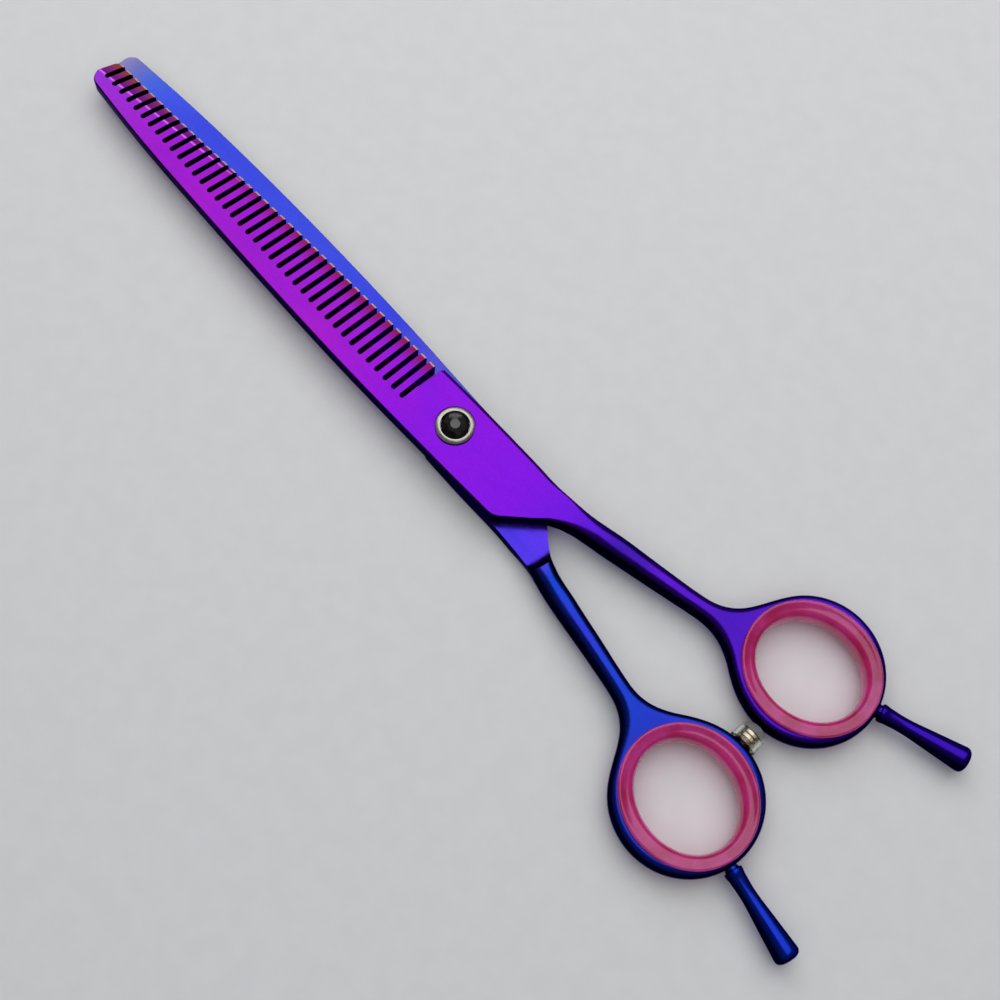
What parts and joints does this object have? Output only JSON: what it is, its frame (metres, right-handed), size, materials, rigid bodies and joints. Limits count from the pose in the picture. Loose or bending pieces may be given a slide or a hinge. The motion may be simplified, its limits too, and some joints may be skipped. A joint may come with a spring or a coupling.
{
  "type": "thinning shears",
  "caption": "Hair thinning shears: a toothed blade and a plain blade on a jewelled pivot screw, with lined finger rings, screwed finger rests and a bumper.",
  "frame": {"origin": "on the pivot axis, in the plane of the plain (lower) blade's underside, which is the face the shears lie on", "axes": "+X runs to the blade tips, +Z is the pivot axis with the jewelled screw head up, +Y is the side of the toothed blade's back"},
  "size_m": [0.1959, 0.056, 0.0076],
  "materials": {
    "violet_steel": "violet to magenta coated steel, satin",
    "blue_steel": "blue coated steel, satin",
    "bright_steel": "fine turned bare steel",
    "spring_steel": "dull spring steel",
    "black_stone": "faceted and polished black stone",
    "bronze": "plain bearing bronze",
    "nylon": "off-white nylon",
    "pink_silicone": "translucent raspberry pink, glossy",
    "clear_silicone": "clear, glossy"
  },
  "bodies": {
    "plain_half": {"plain_blade": "blue_steel", "plain_ring_insert": "pink_silicone", "plain_finger_rest": "blue_steel", "bumper_stud": "bright_steel", "bumper_cap": "clear_silicone", "pivot_bush": "bronze", "friction_washer": "nylon", "spring_washer": "spring_steel"},
    "toothed_half": {"toothed_blade": "violet_steel", "toothed_ring_insert": "pink_silicone", "toothed_finger_rest": "violet_steel", "pivot_screw": "bright_steel", "pivot_gem": "black_stone"},
    "tension_nut": {"tension_nut": "bright_steel"}
  },
  "joints": [
    {"name": "blade_pivot", "type": "hinge", "parent": "plain_half", "child": "toothed_half", "pos_m": [0, 0, 0.00323], "axis": [0, 0, 1], "range_deg": [0, 145]},
    {"name": "nut_turn", "type": "hinge", "parent": "toothed_half", "child": "tension_nut", "pos_m": [0, 0, 0.00065], "axis": [0, 0, 1], "range_deg": [-180, 180]}
  ]
}
